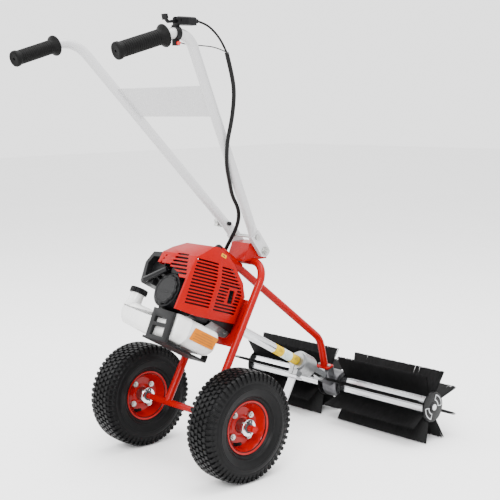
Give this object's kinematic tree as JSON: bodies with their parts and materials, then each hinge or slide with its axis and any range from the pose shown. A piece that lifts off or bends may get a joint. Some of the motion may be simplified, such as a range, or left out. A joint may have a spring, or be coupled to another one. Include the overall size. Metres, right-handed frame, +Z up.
{
  "type": "walk behind sweeper",
  "caption": "Walk-behind power sweeper: two-wheeled hoop frame with a small engine, a drive tube and gearbox, a bristle roller on each side, and a high two-grip handle.",
  "frame": {"origin": "on the ground, at the middle of the machine's outline seen from above", "axes": "+X to the operator's right, along both axles; +Y forward, from the operator to the brush; +Z up"},
  "size_m": [0.672, 0.9448, 1.0399],
  "materials": {
    "frame_red": "gloss enamel over steel tube",
    "handle_white": "gloss enamel over steel tube",
    "shroud_red": "moulded, glossy",
    "zinc": "zinc plated",
    "steel": "machined",
    "cast_aluminium": "cast",
    "core_aluminium": "extruded",
    "tyre_rubber": "moulded",
    "grip_rubber": "moulded",
    "bristle": "bristle strip",
    "black_plastic": "moulded",
    "grey_plastic": "moulded",
    "tank_white": "blow moulded, translucent",
    "gear_grey": "painted",
    "guard_steel": "pressed",
    "primer_clear": "translucent"
  },
  "bodies": {
    "frame": {"frame_hoop": "frame_red", "axle": "frame_red", "wheel_retainers": "zinc", "engine_plate": "frame_red", "sleeve_tube": "frame_red", "support_tube": "frame_red", "handle_bracket": "frame_red", "gearbox_housing": "gear_grey", "gear_clamp": "cast_aluminium", "shaft_cover": "grip_rubber", "drive_tube": "core_aluminium", "shaft_bushes": "black_plastic", "stand_leg": "guard_steel", "frame_bolts": "zinc", "clutch_housing": "cast_aluminium", "crankcase": "cast_aluminium", "cylinder": "cast_aluminium", "spark_plug": "black_plastic", "engine_shroud": "shroud_red", "muffler": "guard_steel", "carburettor": "cast_aluminium", "air_filter_cover": "grey_plastic", "starter_housing": "black_plastic", "starter_cap": "grey_plastic", "fuel_tank": "tank_white", "tank_guard": "grey_plastic"},
    "wheel_left": {"tyre_left": "tyre_rubber", "rim_left": "frame_red", "hub_left": "zinc"},
    "wheel_right": {"tyre_right": "tyre_rubber", "rim_right": "frame_red", "hub_right": "zinc"},
    "handle": {"handle_tube_left": "handle_white", "handle_tube_right": "handle_white", "handle_plate": "handle_white", "grips": "grip_rubber", "pivot_bolts": "zinc", "throttle_clamp": "black_plastic", "throttle_body": "black_plastic", "throttle_cable": "grip_rubber", "cable_conduit": "grip_rubber"},
    "brush": {"brush_core": "core_aluminium", "brush_discs": "black_plastic", "bristle_strips": "bristle", "output_gear": "steel"},
    "drive": {"drive_shaft": "steel", "drive_pinion": "steel"},
    "crank": {"crankshaft": "steel", "flywheel": "cast_aluminium", "clutch_shoes": "steel"},
    "piston": {"piston": "cast_aluminium"},
    "throttle_lever": {"throttle_lever": "black_plastic"},
    "stop_switch": {"stop_switch": "primer_clear"},
    "starter_handle": {"starter_handle": "black_plastic"},
    "choke_lever": {"choke_lever": "black_plastic"},
    "primer_bulb": {"primer_bulb": "primer_clear"},
    "fuel_cap": {"fuel_cap": "black_plastic"},
    "lock_knob": {"lock_knob": "black_plastic"}
  },
  "joints": [
    {"name": "wheel_left_spin", "type": "hinge", "parent": "frame", "child": "wheel_left", "pos_m": [-0.189, -0.15066, 0.13], "axis": [1, 0, 0], "continuous": true},
    {"name": "wheel_right_spin", "type": "hinge", "parent": "frame", "child": "wheel_right", "pos_m": [0.189, -0.15066, 0.13], "axis": [1, 0, 0], "continuous": true},
    {"name": "brush_spin", "type": "hinge", "parent": "frame", "child": "brush", "pos_m": [0, 0.38334, 0.08901], "axis": [1, 0, 0], "continuous": true},
    {"name": "drive_spin", "type": "hinge", "parent": "frame", "child": "drive", "pos_m": [0, 0.38334, 0.08901], "axis": [0, -0.866, 0.5], "continuous": true},
    {"name": "crank_spin", "type": "hinge", "parent": "frame", "child": "crank", "pos_m": [0, -0.03491, 0.33051], "axis": [0, -0.866, 0.5], "continuous": true},
    {"name": "piston_stroke", "type": "slide", "parent": "frame", "child": "piston", "axis": [0, 0.5, 0.866], "range_m": [-0.015, 0.015]},
    {"name": "handle_height", "type": "hinge", "parent": "frame", "child": "handle", "pos_m": [0, 0.06934, 0.495], "axis": [1, 0, 0], "range_deg": [-10, 10], "deforming": ["cable_conduit"]},
    {"name": "throttle_press", "type": "hinge", "parent": "handle", "child": "throttle_lever", "pos_m": [0.2076, -0.31656, 1.0279], "axis": [1, 0, 0], "range_deg": [-35, 0], "stiffness_Nm_per_rad": 0.02},
    {"name": "stop_press", "type": "slide", "parent": "handle", "child": "stop_switch", "axis": [-1, 0, 0], "range_m": [0, 0.002], "stiffness_N_per_m": 400},
    {"name": "starter_pull", "type": "slide", "parent": "frame", "child": "starter_handle", "axis": [0, -0.866, 0.5], "range_m": [0, 0.6], "stiffness_N_per_m": 12, "springref_m": -0.05},
    {"name": "choke_turn", "type": "hinge", "parent": "frame", "child": "choke_lever", "pos_m": [-0.08, -0.09151, 0.43247], "axis": [1, 0, 0], "range_deg": [-75, 0]},
    {"name": "primer_press", "type": "slide", "parent": "frame", "child": "primer_bulb", "axis": [1, 0, 0], "range_m": [0, 0.004], "stiffness_N_per_m": 300},
    {"name": "fuel_cap_turn", "type": "hinge", "parent": "frame", "child": "fuel_cap", "pos_m": [-0.134, -0.19027, 0.39942], "axis": [0, 0.5, 0.866], "range_deg": [0, 450]},
    {"name": "lock_knob_turn", "type": "hinge", "parent": "handle", "child": "lock_knob", "pos_m": [-0.04, 0.02182, 0.56183], "axis": [1, 0, 0], "range_deg": [0, 360]}
  ],
  "couplings": [
    {"joint": "drive_spin", "follows": "brush_spin", "ratio": -4}
  ]
}
